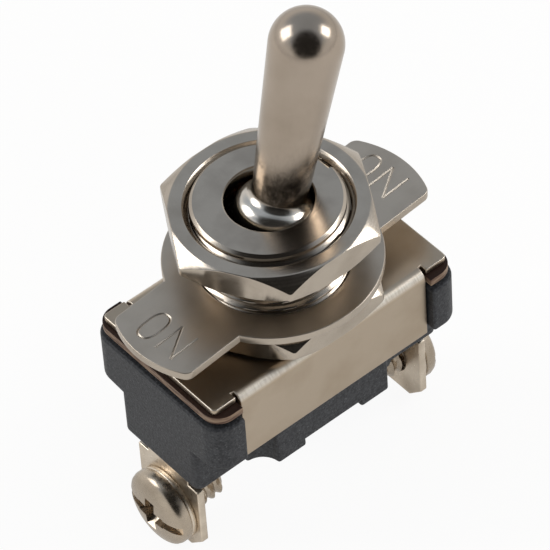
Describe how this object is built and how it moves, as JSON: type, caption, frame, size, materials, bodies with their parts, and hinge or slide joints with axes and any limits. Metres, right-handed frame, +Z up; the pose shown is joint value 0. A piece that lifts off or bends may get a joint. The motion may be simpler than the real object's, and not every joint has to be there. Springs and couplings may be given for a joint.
{
  "type": "panel toggle switch",
  "caption": "Panel-mount toggle switch: bat lever in a threaded bushing with hex nuts and an indicator plate, on a steel-bracketed moulded housing with screw terminals.",
  "frame": {"origin": "on the bushing's axis, at the top face of the steel bracket, the deepest that a panel's rear face can come", "axes": "+Z up the bushing out of the panel, +X along the body towards the side that the lever leans to at rest, +Y across the body towards the common terminal"},
  "size_m": [0.027, 0.0166, 0.0444],
  "materials": {
    "bracket_steel": "bright nickel plate on sheet steel",
    "bushing_metal": "bright nickel plate on brass",
    "nut_metal": "nickel plate on brass, turned faces",
    "plate_steel": "nickel plate on sheet steel, satin",
    "lever_metal": "satin nickel plate on brass",
    "pin_steel": "bright",
    "insulator_paper": "punched paper phenolic sheet",
    "housing_phenolic": "moulded phenolic, matt and finely speckled",
    "plunger_nylon": "moulded nylon",
    "rocker_copper": "bare copper alloy",
    "contact_silver": "silver alloy rivet",
    "terminal_metal": "nickel plate on brass, dull",
    "screw_steel": "nickel plate on steel"
  },
  "bodies": {
    "base": {"bracket": "bracket_steel", "bushing": "bushing_metal", "face_nut": "nut_metal", "backing_nut": "nut_metal", "indicator_plate": "plate_steel", "insulator_plate": "insulator_paper", "housing": "housing_phenolic", "terminal_left": "terminal_metal", "terminal_right": "terminal_metal", "terminal_common": "terminal_metal", "fixed_contact_left": "contact_silver", "fixed_contact_right": "contact_silver", "screw_left": "screw_steel", "screw_right": "screw_steel", "screw_common": "screw_steel", "washer_left": "screw_steel", "washer_right": "screw_steel", "washer_common": "screw_steel"},
    "handle": {"lever": "lever_metal", "pivot_pin": "pin_steel", "plunger_spring": "pin_steel"},
    "presser": {"plunger": "plunger_nylon"},
    "rocker": {"contact_rocker": "rocker_copper", "rocker_contact_left": "contact_silver", "rocker_contact_right": "contact_silver"}
  },
  "joints": [
    {"name": "lever_throw", "type": "hinge", "parent": "base", "child": "handle", "pos_m": [0, 0, 0.0052], "axis": [0, 1, 0], "range_deg": [-28.4, 0]},
    {"name": "plunger_slide", "type": "slide", "parent": "handle", "child": "presser", "axis": [-0.2453, 0, -0.9694], "range_m": [0, 0.00072], "stiffness_N_per_m": 400, "springref_m": 0.003, "deforming": ["plunger_spring"]},
    {"name": "rocker_tip", "type": "hinge", "parent": "base", "child": "rocker", "pos_m": [0, 0, -0.00668], "axis": [0, 1, 0], "range_deg": [0, 16]}
  ],
  "couplings": [
    {"joint": "rocker_tip", "follows": "lever_throw", "ratio": -0.5633}
  ]
}
